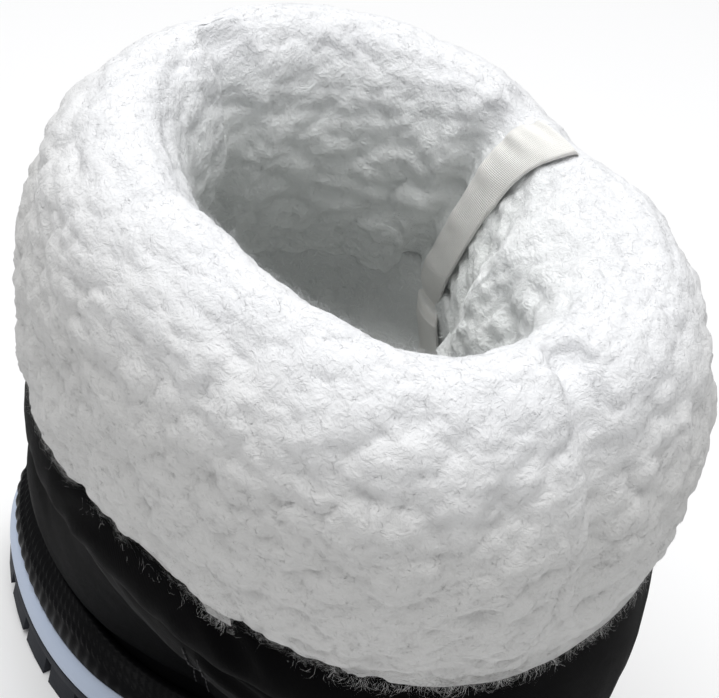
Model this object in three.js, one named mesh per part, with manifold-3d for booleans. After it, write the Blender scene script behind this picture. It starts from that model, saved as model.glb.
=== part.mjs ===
// Snow boot for the left foot, in millimetres.
// +X points to the toe, +Y to the boot's left, where the little toe is, and +Z up.
// The origin is on the ground under the middle of the heel.
import * as THREE from 'three';
import * as BufferGeometryUtils from 'three/addons/utils/BufferGeometryUtils.js';
import Module from 'manifold-3d';

const wasm = await Module();
wasm.setup();

// Driving sizes of the sole
const soleLength = 259; // heel to toe round the pale stripe
const heelReach = 36; // from the origin back to the edge of the sole
const ballWidth = 93; // across the ball round the pale stripe
const toeSpring = 16; // lift of the toe tip
const springStart = 177; // from the back of the sole to where the toe starts to lift
const archLift = 4; // lift of the tread under the arch
const outsoleHeight = 14.4; // ground to the underside of the stripe
const treadDepth = 6; // depth of the lugs
const lugFlare = 4.8; // how far the lugs stand out past the outline at the ground
const lugHeight = 9.5; // how high the side lugs climb
const lugGap = 4.5; // gap between two side lugs
const lugInset = 15; // how far a side lug reaches in under the foot
const lugTaper = 0.45; // share of the flare that is left at a lug's head
const sideLugs = 28; // side lugs round the whole edge
const barThickness = 12; // arrow bars across the tread
const barPitch = 19;
const barSweep = 4; // how far an arrow's point runs ahead of its ends
const plateEdge = 3.3; // how far the plate's side wall stands out past the outline
const stripeHeight = 7.8; // the pale layer
const stripeEdge = 0.6; // how far its upper edge draws in
const stripeFlare = 2.6; // how far its lower edge stands out past the outline
const foxingHeight = 14; // the moulded cup over the stripe
const foxingLean = 8.2; // how far the cup leans in over its height
const foxingFoot = 1.6; // how far the cup steps in from the stripe
const foxingDip = 0.5; // share of its height that the cup loses along the sides of the arch
const flutes = 60; // upright flutes round the cup
const fluteDepth = 0.5;
const ribDepth = 0.9; // the slanted ribs along the top of the cup

// Driving sizes of the upper
const wall = 2.4; // outer cloth with its padding
const featherInset = 12.8; // from the sole's outline in to the upper's lower edge
const vampHeight = 98; // from the lower edge up to the throat, where the shaft starts
const shaftDepth = 190; // shaft from front to back
const shaftWidth = 142; // shaft from side to side
const shaftCentre = 39; // the shaft's middle ahead of the origin
const shaftSide = 5.8; // and to the left
const shaftFoot = 120; // ground to where the shaft starts
const shaftRise = 124; // from there to its top edge, on its middle
const bandPuff = 5.0; // how far the padded top band swells
const quarterPuff = 2.6; // how far the back quarters swell
const seamDepth = 1.1; // depth of the sewn seams
const backDip = 32; // how much lower the band's seam runs at the back

// Driving sizes of the fleece, the tape and the footbed
const fleeceRise = 89; // cuff from its lower edge to the crest of the rim
const fleeceFoot = 173; // ground to the cuff's lower edge
const troughDepth = 4; // of the deepest trough down the fleece
const foldDepth = 9; // the fleece's fold behind the tape, on the inside
const clumpDepth = 1.3; // how far the curls of the fleece stand in and out
const lockLength = 8; // half length of a fleece lock
const lockWidth = 5; // half width of a lock
const lockThick = 2.8; // half thickness of a lock
const tapeWidth = 12;
const tapeThick = 1.2;
const tapeLift = 1.1; // from the fleece's ground up to the tape
const insoleThick = 5;
const gap = 0.35; // between two pieces that meet
const slot = 0.6; // round the upper's top, inside the fleece

// Grid sizes
const columns = 60; // round the boot, front to front
const seamColumn = 17; // column of the seam between vamp and quarter

// The sole's outline: along its length from the back, then half widths left and right of the
// middle line, all as shares of the sole's length and of the ball's width.
const soleOutline = [
  { at: 0.030, left: 0.220, right: 0.220 },
  { at: 0.084, left: 0.344, right: 0.344 },
  { at: 0.177, left: 0.371, right: 0.371 },
  { at: 0.254, left: 0.366, right: 0.366 },
  { at: 0.355, left: 0.349, right: 0.338 },
  { at: 0.447, left: 0.371, right: 0.344 },
  { at: 0.500, left: 0.413, right: 0.387 },
  { at: 0.610, left: 0.469, right: 0.495 },
  { at: 0.718, left: 0.454, right: 0.548 },
  { at: 0.830, left: 0.378, right: 0.511 },
  { at: 0.919, left: 0.262, right: 0.440 },
  { at: 0.973, left: 0.125, right: 0.320 },
];
const toeTipSide = -0.092; // the toe swings inwards by this share of the ball's width

// Rings of the upper from its lower edge to the throat. Back and front are shares of the
// sole's length, inset of the feather inset, width of the ball's width, and the two heights of
// the vamp's height. Foot is how much of the sole's outline the ring keeps, drawn in by the
// inset, and the rest of it is an oval of that width. Spring is how much of the toe's lift it has.
const footRings = [
  { back: 0.050, front: 0.950, inset: 1.00, width: 0.90, low: 0.000, high: 0.000, foot: 1.00, spring: 1.0 },
  { back: 0.048, front: 0.952, inset: 0.97, width: 0.90, low: 0.135, high: 0.135, foot: 1.00, spring: 1.0 },
  { back: 0.028, front: 0.960, inset: 0.54, width: 0.90, low: 0.240, high: 0.265, foot: 1.00, spring: 1.0 },
  { back: 0.016, front: 0.946, inset: 0.32, width: 0.90, low: 0.345, high: 0.420, foot: 1.00, spring: 1.0 },
  { back: 0.008, front: 0.898, inset: 0.22, width: 0.92, low: 0.450, high: 0.560, foot: 0.98, spring: 1.0 },
  { back: 0.000, front: 0.830, inset: 0.18, width: 0.97, low: 0.560, high: 0.690, foot: 0.84, spring: 0.9 },
  { back: -0.010, front: 0.752, inset: 0.14, width: 1.04, low: 0.680, high: 0.815, foot: 0.56, spring: 0.7 },
  { back: -0.022, front: 0.688, inset: 0.10, width: 1.16, low: 0.820, high: 0.955, foot: 0.26, spring: 0.3 },
];

// Rings of the shaft. Back and front are measured from the shaft's middle as shares of its
// depth, width is a share of its width, and the heights are shares of the shaft's rise. Dip is
// how much of the band seam's drop at the back the ring follows.
const shaftRings = [
  { back: -0.445, front: 0.465, width: 0.900, low: 0.080, high: 0.215, dip: 0.55 },
  { back: -0.470, front: 0.476, width: 0.950, low: 0.232, high: 0.325, dip: 1.00 },
  { back: -0.485, front: 0.476, width: 0.942, low: 0.430, high: 0.500, dip: 0.10 },
  { back: -0.490, front: 0.420, width: 0.930, low: 0.640, high: 0.830, dip: 0.00 },
  { back: -0.455, front: 0.310, width: 0.815, low: 0.870, high: 1.110, dip: 0.00 },
];
const bandSeamRow = footRings.length + 1; // the ring that is the band's lower seam
const topRow = footRings.length + shaftRings.length - 1;
const bandRings = 1.35; // how many rings the band's swell spans above its seam

// Rings of the fleece from the outside of its lower edge, over the rim and down inside. Back
// and front are measured from the shaft's middle as shares of its depth, width is a share of
// its width, height a share of the cuff's rise, and tilt the rise from the middle to the front.
const fleeceRings = [
  { back: -0.507, front: 0.500, width: 1.002, height: 0.000, tilt: 0.060 },
  { back: -0.517, front: 0.508, width: 1.028, height: 0.075, tilt: 0.065 },
  { back: -0.537, front: 0.479, width: 1.052, height: 0.345, tilt: 0.140 },
  { back: -0.541, front: 0.421, width: 1.056, height: 0.620, tilt: 0.205 },
  { back: -0.517, front: 0.357, width: 0.985, height: 0.825, tilt: 0.225 },
  { back: -0.483, front: 0.295, width: 0.860, height: 0.950, tilt: 0.225 },
  { back: -0.440, front: 0.240, width: 0.722, height: 1.000, tilt: 0.215 },
  { back: -0.395, front: 0.195, width: 0.600, height: 0.950, tilt: 0.200 },
  { back: -0.372, front: 0.176, width: 0.535, height: 0.820, tilt: 0.185 },
  { back: -0.372, front: 0.190, width: 0.540, height: 0.600, tilt: 0.160 },
  { back: -0.395, front: 0.265, width: 0.620, height: 0.330, tilt: 0.110 },
  { back: -0.430, front: 0.350, width: 0.745, height: 0.110, tilt: 0.070 },
];
const crestRow = 6; // the ring on the crest of the rim
const innerRow = 9; // a ring half way down inside

// Troughs that run down the fleece: place round the boot from the front by the left, how far
// that place drifts on the way down inside, share of the trough depth, half width round the boot,
// and the first and last ring that they cross.
const fleeceTroughs = {
  frontSeam: { at: 0.000, drift: 0.000, depth: 0.75, reach: 0.014, from: 4, to: 11 },
  backSeam: { at: 0.484, drift: 0.000, depth: 0.65, reach: 0.012, from: 1, to: 6 },
  tapeNotch: { at: 0.731, drift: 0.060, depth: 1.00, reach: 0.026, from: 4, to: 11 },
};
const foldAt = 0.655;
const foldReach = 0.062;

const clamp = THREE.MathUtils.clamp;
const lerp = THREE.MathUtils.lerp;

/** A smooth step from 0 to 1 between two values. */
function ease(value, from, to) {
  return THREE.MathUtils.smoothstep(value, from, to);
}

/** A repeatable number between -1 and 1 for two whole numbers. */
function scatter(first, second) {
  const value = Math.sin(first * 12.9898 + second * 78.233) * 43758.5453;
  return 2 * (value - Math.floor(value)) - 1;
}

/** The shortest way round the boot from one place to another, as a share of the way round. */
function around(u, at) {
  const away = Math.abs(u - at) % 1;
  return Math.min(away, 1 - away);
}

/** A column of a table of rings, run smoothly through its rows. */
function between(rings, name, row) {
  const last = rings.length - 1;
  const index = clamp(Math.floor(row), 0, last - 1);
  const part = row - index;
  const value = (k) => rings[clamp(k, 0, last)][name];
  const [a, b, c, d] = [value(index - 1), value(index), value(index + 1), value(index + 2)];
  const slopeIn = (c - a) / 2;
  const slopeOut = (d - b) / 2;
  const p2 = part * part;
  const p3 = p2 * part;
  return (2 * p3 - 3 * p2 + 1) * b + (p3 - 2 * p2 + part) * slopeIn
    + (3 * p2 - 2 * p3) * c + (p3 - p2) * slopeOut;
}

// The outline of the sole

/** Points spread evenly by length along a run of points. */
function spreadEvenly(points, count) {
  const lengths = [0];
  for (let i = 1; i < points.length; i += 1) {
    lengths.push(lengths[i - 1] + points[i].distanceTo(points[i - 1]));
  }
  const total = lengths[lengths.length - 1];
  const spread = [];
  let i = 1;
  for (let k = 0; k <= count; k += 1) {
    const target = (total * k) / count;
    while (i < points.length - 1 && lengths[i] < target) i += 1;
    const part = (target - lengths[i - 1]) / (lengths[i] - lengths[i - 1]);
    spread.push(points[i - 1].clone().lerp(points[i], clamp(part, 0, 1)));
  }
  return spread;
}

/** The outline in shares, from the toe tip by the left side to the heel and back by the right. */
function outlineShares() {
  const forward = [...soleOutline].reverse();
  const controls = [
    new THREE.Vector3(1, toeTipSide, 0),
    ...forward.map((row) => new THREE.Vector3(row.at, row.left, 0)),
    new THREE.Vector3(0, 0, 0),
    ...soleOutline.map((row) => new THREE.Vector3(row.at, -row.right, 0)),
  ];
  const scaled = controls.map((p) => new THREE.Vector3(p.x * soleLength, p.y * ballWidth, 0));
  const curve = new THREE.CatmullRomCurve3(scaled, true, 'centripetal');
  const heelShare = (soleOutline.length + 1) / scaled.length;
  const fine = 240;
  const half = (from, to) => {
    const run = [];
    for (let i = 0; i <= fine; i += 1) run.push(curve.getPoint(lerp(from, to, i / fine)));
    return spreadEvenly(run, columns / 2);
  };
  const loop = [...half(0, heelShare).slice(0, -1), ...half(heelShare, 1).slice(0, -1)];
  return loop.map((p) => ({ x: p.x / soleLength, y: p.y / ballWidth }));
}

const outline = outlineShares();

/** The outline at a place round the boot, in shares. */
function outlineAt(u) {
  const place = (((u % 1) + 1) % 1) * columns;
  const index = Math.floor(place) % columns;
  const next = (index + 1) % columns;
  const part = place - Math.floor(place);
  return {
    x: lerp(outline[index].x, outline[next].x, part),
    y: lerp(outline[index].y, outline[next].y, part),
  };
}

/** Lift of the toe at a distance ahead of the origin. */
function toeLift(x) {
  const start = springStart - heelReach;
  const end = soleLength - heelReach;
  return toeSpring * clamp((x - start) / (end - start), 0, 1.3) ** 2;
}

/** Lift of the tread: the toe's spring, and the arch between heel and ball. */
function treadLift(x) {
  const from = (x + heelReach) / soleLength;
  const arch = ease(from, 0.33, 0.40) - ease(from, 0.48, 0.55);
  return toeLift(x) + archLift * arch;
}

/** A point of the sole's edge, moved out by an offset, at a height before the toe's lift. */
function edgePoint(u, offset, height) {
  const step = 0.5 / columns;
  const here = outlineAt(u);
  const before = outlineAt(u - step);
  const after = outlineAt(u + step);
  const along = new THREE.Vector2(
    (after.x - before.x) * soleLength,
    (after.y - before.y) * ballWidth,
  ).normalize();
  const x = here.x * soleLength - heelReach + along.y * offset;
  const y = here.y * ballWidth - along.x * offset;
  return new THREE.Vector3(x, y, height + toeLift(x));
}

// The shape of the upper

const stripeTop = outsoleHeight + stripeHeight;
const upperFoot = stripeTop + gap;

/** A point of an oval of depth 1 and width 1, from its back at x 0 to its front at x 1. */
function ovalAt(u) {
  const squareness = 2.3;
  const angle = 2 * Math.PI * u;
  const bend = (value) => Math.sign(value) * Math.abs(value) ** (2 / squareness);
  return { x: (1 + bend(Math.cos(angle))) / 2, y: bend(Math.sin(angle)) / 2 };
}

/** All rings of the upper in millimetres, foot and shaft in one run. */
const upperRings = [
  ...footRings.map((row) => ({
    back: row.back * soleLength - heelReach,
    front: row.front * soleLength - heelReach,
    inset: row.inset * featherInset,
    width: row.width * ballWidth,
    side: shaftSide * (1 - row.foot),
    low: upperFoot + row.low * vampHeight,
    high: upperFoot + row.high * vampHeight,
    foot: row.foot,
    spring: row.spring,
    dip: 0,
  })),
  ...shaftRings.map((row) => ({
    back: shaftCentre + row.back * shaftDepth,
    front: shaftCentre + row.front * shaftDepth,
    inset: 0,
    width: row.width * shaftWidth,
    side: shaftSide,
    low: shaftFoot + row.low * shaftRise,
    high: shaftFoot + row.high * shaftRise,
    foot: 0,
    spring: 0,
    dip: row.dip,
  })),
];

/** The sole's outline drawn in: a share from its back to its front, and a side distance. */
function drawnInOutline(u, inset) {
  const point = edgePoint(u, -inset, 0);
  return { x: (point.x + heelReach - inset) / (soleLength - 2 * inset), y: point.y };
}

/** How far the band's seam has dropped towards the back, from 0 to 1. */
function dipShare(u) {
  return ease(around(u, 0), 0.33, 0.5);
}

/** A point of the upper's outside before the puffs, at a place round it and a ring. */
function upperBase(u, row) {
  const value = (name) => between(upperRings, name, row);
  const foot = clamp(value('foot'), 0, 1);
  const flat = drawnInOutline(u, value('inset'));
  const oval = ovalAt(u);
  const along = lerp(oval.x, flat.x, foot);
  const x = lerp(value('back'), value('front'), along);
  const y = lerp(oval.y * value('width'), flat.y, foot) + value('side');
  const height = lerp(value('low'), value('high'), along);
  return new THREE.Vector3(
    x,
    y,
    height + value('spring') * toeLift(x) - value('dip') * backDip * dipShare(u),
  );
}

/** The direction out of a surface that is given by a function of place and row. */
function outwards(surface, u, row, lastRow) {
  const stepU = 0.004;
  const stepRow = 0.05;
  const low = clamp(row - stepRow, 0, lastRow);
  const high = clamp(row + stepRow, 0, lastRow);
  const round = surface(u + stepU, row).sub(surface(u - stepU, row));
  const up = surface(u, high).sub(surface(u, low));
  return round.cross(up).normalize();
}

/** How far the padding swells the upper at a place and ring, seams cut in. */
function upperPuff(u, row) {
  const bandShare = (row - bandSeamRow) / bandRings;
  const band = bandShare > 0 && bandShare < 1 ? Math.sin(Math.PI * bandShare ** 0.6) : 0;
  const seamPlace = seamColumn / columns;
  const side = around(u, 0);
  const behind = clamp((side - seamPlace) / (0.5 - seamPlace), 0, 1);
  const ahead = clamp((seamPlace - side) / seamPlace, 0, 1);
  const level = clamp((row - 1.2) / (bandSeamRow - 1.2), 0, 1);
  const upright = Math.sin(Math.PI * level ** 0.8);
  const quarter = Math.sin(Math.PI * behind ** 0.55) * upright;
  const vamp = 0.45 * Math.sin(Math.PI * Math.min(1, ahead) ** 0.5) * upright;
  const below = row < bandSeamRow ? 1 : 0;
  const sideSeam = Math.exp(-(((side - seamPlace) * columns) ** 2)) * upright * below;
  const backSeam = Math.exp(-(((side - 0.5) * columns) ** 2)) * upright * below;
  const bandSeam = Math.exp(-(((row - bandSeamRow) / 0.07) ** 2));
  return bandPuff * band + quarterPuff * (quarter + vamp) * below
    - seamDepth * (sideSeam + backSeam + bandSeam);
}

/** A point of the upper, moved out from its outer face by an offset. */
function upperPoint(u, row, offset) {
  const out = outwards(upperBase, u, row, topRow);
  return upperBase(u, row).addScaledVector(out, upperPuff(u, row) + offset);
}

// The shape of the fleece

/** A point of the fleece before its troughs, at a place round it and a ring. */
function fleeceBase(u, row) {
  const value = (name) => between(fleeceRings, name, row);
  const oval = ovalAt(u);
  const x = shaftCentre + lerp(value('back'), value('front'), oval.x) * shaftDepth;
  const y = shaftSide + oval.y * value('width') * shaftWidth;
  const middle = shaftCentre + ((value('back') + value('front')) / 2) * shaftDepth;
  return new THREE.Vector3(x, y, fleeceFoot + value('height') * fleeceRise + value('tilt') * (x - middle));
}

/** Where a trough lies round the boot at a ring. */
function troughPlace(trough, row) {
  return trough.at + trough.drift * ease(row, crestRow, fleeceRings.length - 1);
}

/** How deep the troughs, the inner fold and the clumps are at a place and ring. */
function fleeceRelief(u, row) {
  let relief = 0;
  let calm = 1;
  for (const trough of Object.values(fleeceTroughs)) {
    const inside = ease(row, trough.from - 1, trough.from) * (1 - ease(row, trough.to, trough.to + 1));
    const away = around(u, troughPlace(trough, row)) / trough.reach;
    relief -= troughDepth * trough.depth * Math.exp(-(away ** 2)) * inside;
    calm *= 1 - Math.exp(-((away / 2) ** 4)) * inside;
  }
  const inner = ease(row, crestRow, innerRow) * (1 - ease(row, innerRow + 1, innerRow + 2));
  relief += foldDepth * Math.exp(-((around(u, foldAt) / foldReach) ** 2)) * inner;
  const clumps = scatter(Math.round(u * columns), Math.round(row * 10));
  return relief + clumpDepth * clumps * calm * ease(row, 0.5, 1.2);
}

/** A point of the fleece, moved out from its surface by an offset. */
function fleecePoint(u, row, offset) {
  const out = outwards(fleeceBase, u, row, fleeceRings.length - 1);
  return fleeceBase(u, row).addScaledVector(out, fleeceRelief(u, row) + offset);
}

// Meshes from rings of points

/** Volume inside a set of triangles, negative where they face inwards. */
function signedVolume(points, faces) {
  let sum = 0;
  for (const [a, b, c] of faces) {
    sum += points[a].dot(points[b].clone().cross(points[c]));
  }
  return sum / 6;
}

/** A geometry of points and triangles, turned so that its faces point out. */
function closedGeometry(points, faces) {
  const flip = signedVolume(points, faces) < 0;
  const index = faces.flatMap(([a, b, c]) => (flip ? [a, c, b] : [a, b, c]));
  const geometry = new THREE.BufferGeometry();
  const values = points.flatMap((p) => [p.x, p.y, p.z]);
  geometry.setAttribute('position', new THREE.Float32BufferAttribute(values, 3));
  geometry.setIndex(index);
  return geometry;
}

/** Triangles between neighbouring rings of equal length; loop joins the last to the first. */
function ringFaces(ringCount, size, loop) {
  const faces = [];
  const spans = loop ? ringCount : ringCount - 1;
  for (let r = 0; r < spans; r += 1) {
    const next = (r + 1) % ringCount;
    for (let i = 0; i < size; i += 1) {
      const j = (i + 1) % size;
      const [a, b] = [r * size + i, r * size + j];
      const [c, d] = [next * size + i, next * size + j];
      faces.push([a, b, d], [a, d, c]);
    }
  }
  return faces;
}

/** A body whose rings close into a loop, such as a wall with two faces and two rims. */
function loopBody(rings) {
  return closedGeometry(rings.flat(), ringFaces(rings.length, rings[0].length, true));
}

/** A body of stacked rings, closed at both ends by strips across from left to right. */
function stackBody(rings) {
  const size = rings[0].length;
  const faces = ringFaces(rings.length, size, false);
  const cap = (start, upwards) => {
    for (let i = 0; i < size / 2; i += 1) {
      const left = [start + i, start + i + 1];
      const right = [start + ((size - i) % size), start + size - i - 1];
      const pair = [[left[0], left[1], right[1]], [left[0], right[1], right[0]]];
      for (const [a, b, c] of pair) {
        if (a === b || b === c || a === c) continue;
        faces.push(upwards ? [a, b, c] : [a, c, b]);
      }
    }
  };
  cap((rings.length - 1) * size, true);
  cap(0, false);
  return closedGeometry(rings.flat(), faces);
}

/** One ring of points from a function of the place round the boot. */
function ring(pointAt, count = columns) {
  return Array.from({ length: count }, (_, i) => pointAt(i / count));
}

// Booleans

/** A closed geometry as a solid that can be joined or cut. */
function toSolid(geometry) {
  const bare = geometry.index ? geometry.clone() : geometry;
  bare.deleteAttribute('normal');
  bare.deleteAttribute('uv');
  const merged = BufferGeometryUtils.mergeVertices(bare, 1e-4);
  return new wasm.Manifold(new wasm.Mesh({
    numProp: 3,
    vertProperties: new Float32Array(merged.attributes.position.array),
    triVerts: new Uint32Array(merged.index.array),
  }));
}

/** A solid as a geometry again. */
function toGeometry(solid) {
  const mesh = solid.getMesh();
  const geometry = new THREE.BufferGeometry();
  geometry.setAttribute('position', new THREE.BufferAttribute(new Float32Array(mesh.vertProperties), 3));
  geometry.setIndex(new THREE.BufferAttribute(new Uint32Array(mesh.triVerts), 1));
  return geometry;
}

// The pieces

/** A lug: a block over a plan outline, its foot on the tread and its head inside the plate. */
function lugBlock(footPlan, headPlan, head) {
  const low = footPlan.map((p) => new THREE.Vector3(p.x, p.y, treadLift(p.x)));
  const high = headPlan.map((p) => new THREE.Vector3(p.x, p.y, head + treadLift(p.x)));
  const size = low.length;
  const faces = ringFaces(2, size, false);
  for (let i = 1; i < size - 1; i += 1) {
    faces.push([0, i + 1, i], [size, size + i, size + i + 1]);
  }
  return closedGeometry([...low, ...high], faces);
}

/** A side lug between two places round the sole. */
function sideLug(from, to) {
  const middle = (from + to) / 2;
  const plan = (offset) => [
    edgePoint(from, offset, 0),
    edgePoint(middle, offset, 0),
    edgePoint(to, offset, 0),
    edgePoint(to, -lugInset, 0),
    edgePoint(from, -lugInset, 0),
  ];
  return lugBlock(plan(lugFlare), plan(lugFlare * lugTaper), lugHeight);
}

/** A bar across the tread in the shape of a shallow arrow. */
function arrowLug(x, halfWidth, middleY) {
  const plan = [
    [x, -halfWidth], [x + barSweep, 0], [x, halfWidth],
    [x + barThickness, halfWidth], [x + barThickness + barSweep, 0], [x + barThickness, -halfWidth],
  ].map(([px, py]) => ({ x: px, y: py + middleY }));
  const halves = [[0, 1, 4, 5], [1, 2, 3, 4]];
  return halves.map((corners) => {
    const part = corners.map((i) => plan[i]);
    return lugBlock(part, part, lugHeight);
  });
}

function makeOutsole() {
  const top = outsoleHeight - gap;
  const plateBottom = ring((u) => {
    const point = edgePoint(u, -1, 0);
    point.z = treadDepth + treadLift(point.x);
    return point;
  });
  const plate = stackBody([
    plateBottom,
    ring((u) => edgePoint(u, plateEdge, treadDepth + archLift + gap)),
    ring((u) => edgePoint(u, 0.9 * plateEdge, top)),
  ]);
  let body = toSolid(plate);
  const edgeLength = 2 * soleLength + ballWidth;
  const gapShare = lugGap / edgeLength;
  for (let i = 0; i < sideLugs; i += 1) {
    const from = (i + 0.5) / sideLugs + gapShare / 2;
    const to = (i + 1.5) / sideLugs - gapShare / 2;
    body = body.add(toSolid(sideLug(from, to)));
  }
  const bars = [
    { from: 0.104, count: 3, half: 0.155, middle: 0.00 },
    { from: 0.587, count: 5, half: 0.250, middle: -0.03 },
  ];
  for (const run of bars) {
    for (let i = 0; i < run.count; i += 1) {
      const x = run.from * soleLength - heelReach + i * barPitch;
      for (const half of arrowLug(x, run.half * ballWidth, run.middle * ballWidth)) {
        body = body.add(toSolid(half));
      }
    }
  }
  return toGeometry(body);
}

function makeStripe() {
  const low = outsoleHeight;
  const high = stripeTop - gap;
  return stackBody([
    ring((u) => edgePoint(u, stripeFlare, low)),
    ring((u) => edgePoint(u, 0.8 * stripeFlare, lerp(low, high, 0.4))),
    ring((u) => edgePoint(u, -stripeEdge, high)),
  ]);
}

/** The height that the cup keeps at a place round the sole, as a share: less beside the arch. */
function foxingShare(u) {
  const side = around(u, 0);
  return 1 - foxingDip * ease(side, 0.16, 0.25) * (1 - ease(side, 0.36, 0.45));
}

function makeFoxing() {
  const fine = columns * 2;
  const low = stripeTop;
  const face = (share, swell) => (u) => {
    const flute = fluteDepth * Math.cos(2 * Math.PI * flutes * u) * Math.sin(Math.PI * share);
    const offset = -foxingFoot - foxingLean * share ** 1.4 + swell + flute;
    return edgePoint(u, offset, low + foxingHeight * foxingShare(u) * share);
  };
  const rib = (share, turn) => (u) => {
    const wave = ribDepth * Math.cos(2 * Math.PI * flutes * u + turn);
    const height = foxingHeight * foxingShare(u) * share;
    return edgePoint(u, -foxingFoot - foxingLean * share ** 1.4 + wave, low + height);
  };
  const inside = (share) => (u) => {
    const place = u * columns;
    const [first, part] = [Math.floor(place), place - Math.floor(place)];
    const line = (row) => {
      const here = upperPoint(first / columns, row, gap);
      return here.lerp(upperPoint((first + 1) / columns, row, gap), part);
    };
    return line(0).lerp(line(1), share * foxingShare(u));
  };
  return loopBody([
    ring(face(0, 0), fine),
    ring(face(0.45, 1.0), fine),
    ring(rib(0.74, 0), fine),
    ring(rib(0.95, Math.PI), fine),
    ring(inside(0.98), fine),
    ring((u) => {
      const point = inside(0)(u);
      point.z = low + toeLift(point.x);
      return point;
    }, fine),
  ]);
}

// Rings of the padded band, from under its seam up to the upper's top edge
const bandRows = [8.8, 9, 9.14, 9.4, 9.75, 10.12, 11, 12];

function makeUpper() {
  const outerRows = [0, 1, 1.5, 2, 3, 4, 5, 6, 7, 8, ...bandRows];
  const innerRows = [12, 11, 10.12, 9.2, 8, 6.5, 5, 3.5, 2, 1, 0];
  return loopBody([
    ...outerRows.map((row) => ring((u) => upperPoint(u, row, 0))),
    ...innerRows.map((row) => ring((u) => upperPoint(u, row, -wall))),
  ]);
}

/** A lock of fleece that lies on the surface and points down. */
function fleeceLock(u, row, lean, lift) {
  const out = outwards(fleeceBase, u, row, fleeceRings.length - 1);
  const foot = fleecePoint(u, row, lift);
  const above = fleecePoint(u, row + 0.2, 0);
  const below = fleecePoint(u, Math.max(0, row - 0.2), 0);
  const down = below.sub(above).normalize();
  const across = new THREE.Vector3().crossVectors(out, down).normalize();
  const length = lockLength * (1 + 0.25 * scatter(u * 97, row));
  down.addScaledVector(across, lean).addScaledVector(out, 0.25).normalize();
  across.crossVectors(out, down).normalize();
  const face = new THREE.Vector3().crossVectors(down, across).normalize();
  const turn = new THREE.Matrix4().makeBasis(
    across.multiplyScalar(lockWidth),
    down.multiplyScalar(length),
    face.multiplyScalar(-lockThick),
  );
  const lock = new THREE.OctahedronGeometry(1, 0);
  lock.applyMatrix4(turn);
  lock.translate(foot.x, foot.y, foot.z);
  return lock;
}

function makeFleeceCuff() {
  const slotRows = bandRows.slice(-3, -1);
  const overTop = (u, offset) => upperPoint(u, topRow, offset).add(new THREE.Vector3(0, 0, slot));
  const outerRows = [0, 0.5, 1, 1.7, 2.4, 3.1, 3.8, 4.5, 5.2, 6, 6.8, 8, 9.3, 11];
  const rings = [
    ...outerRows.map((row) => ring((u) => fleecePoint(u, row, 0))),
    ...slotRows.map((row) => ring((u) => upperPoint(u, row, -wall - slot))),
    ring((u) => overTop(u, -wall - slot)),
    ring((u) => overTop(u, slot)),
    ...[...slotRows].reverse().map((row) => ring((u) => upperPoint(u, row, slot))),
  ];
  let body = toSolid(loopBody(rings));
  const lockRows = [
    { row: 0.35, count: 30, start: 0.000, lift: 0.7 },
    { row: 1.6, count: 11, start: 0.020, lift: -0.14 },
    { row: 3.0, count: 11, start: 0.045, lift: -0.21 },
  ];
  const shellPlug = toSolid(stackBody(bandRows.map((row) => ring((u) => upperPoint(u, row, slot)))));
  for (const line of lockRows) {
    for (let i = 0; i < line.count; i += 1) {
      const u = line.start + (i + 0.3 * scatter(i, line.row)) / line.count;
      const row = Math.max(0.3, line.row + 0.25 * scatter(line.row, i));
      const clearOfTape = line.row < 4 || around(u, fleeceTroughs.tapeNotch.at) > 0.06;
      if (!clearOfTape) continue;
      const lock = toSolid(fleeceLock(u, row, 0.35 * scatter(i, i), line.lift * lockThick));
      body = body.add(lock.subtract(shellPlug));
    }
  }
  return toGeometry(body);
}

function makeSeamTape() {
  const notch = fleeceTroughs.tapeNotch;
  const steps = 12;
  const first = 4.6;
  const last = 10.8;
  const halfShare = (at, row) => {
    const across = fleeceBase(at + 0.01, row).distanceTo(fleeceBase(at - 0.01, row)) / 0.02;
    return (tapeWidth / 2) / across;
  };
  const sections = [];
  for (let i = 0; i <= steps; i += 1) {
    const row = lerp(first, last, i / steps);
    const at = troughPlace(notch, row);
    const half = halfShare(at, row);
    const places = [-1, 0, 1].map((k) => at + k * half);
    sections.push([
      ...places.map((u) => fleecePoint(u, row, tapeLift)),
      ...places.reverse().map((u) => fleecePoint(u, row, tapeLift + tapeThick)),
    ]);
  }
  const size = sections[0].length;
  const faces = ringFaces(sections.length, size, false);
  const start = (sections.length - 1) * size;
  for (let i = 1; i < size - 1; i += 1) {
    faces.push([0, i + 1, i], [start, start + i, start + i + 1]);
  }
  return closedGeometry(sections.flat(), faces);
}

function makeInsole() {
  const face = (row, height) => (u) => {
    const point = upperPoint(u, row, -wall - slot);
    point.z = height + toeLift(point.x);
    return point;
  };
  return stackBody([
    ring(face(0.15, stripeTop)),
    ring(face(0.45, stripeTop + insoleThick)),
  ]);
}

// The boot

const finish = (color, roughness) => new THREE.MeshStandardMaterial({ color, roughness, metalness: 0 });
const boot = new THREE.Group();

/** Adds a named piece with its own finish. */
function addPiece(name, geometry, color, roughness) {
  const mesh = new THREE.Mesh(geometry, finish(color, roughness));
  mesh.name = name;
  boot.add(mesh);
}

addPiece('outsole', makeOutsole(), 0x30333a, 0.75);
addPiece('midsole_stripe', makeStripe(), 0xabb7c7, 0.55);
addPiece('foxing', makeFoxing(), 0x171719, 0.6);
addPiece('upper', makeUpper(), 0x101012, 0.7);
addPiece('fleece_cuff', makeFleeceCuff(), 0xebecf0, 0.95);
addPiece('seam_tape', makeSeamTape(), 0xe9e4d4, 0.9);
addPiece('insole', makeInsole(), 0xdfe0e2, 0.95);

export default boot;
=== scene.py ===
import math

import bpy
import numpy as np
from mathutils import Matrix, Vector, kdtree, noise


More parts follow.
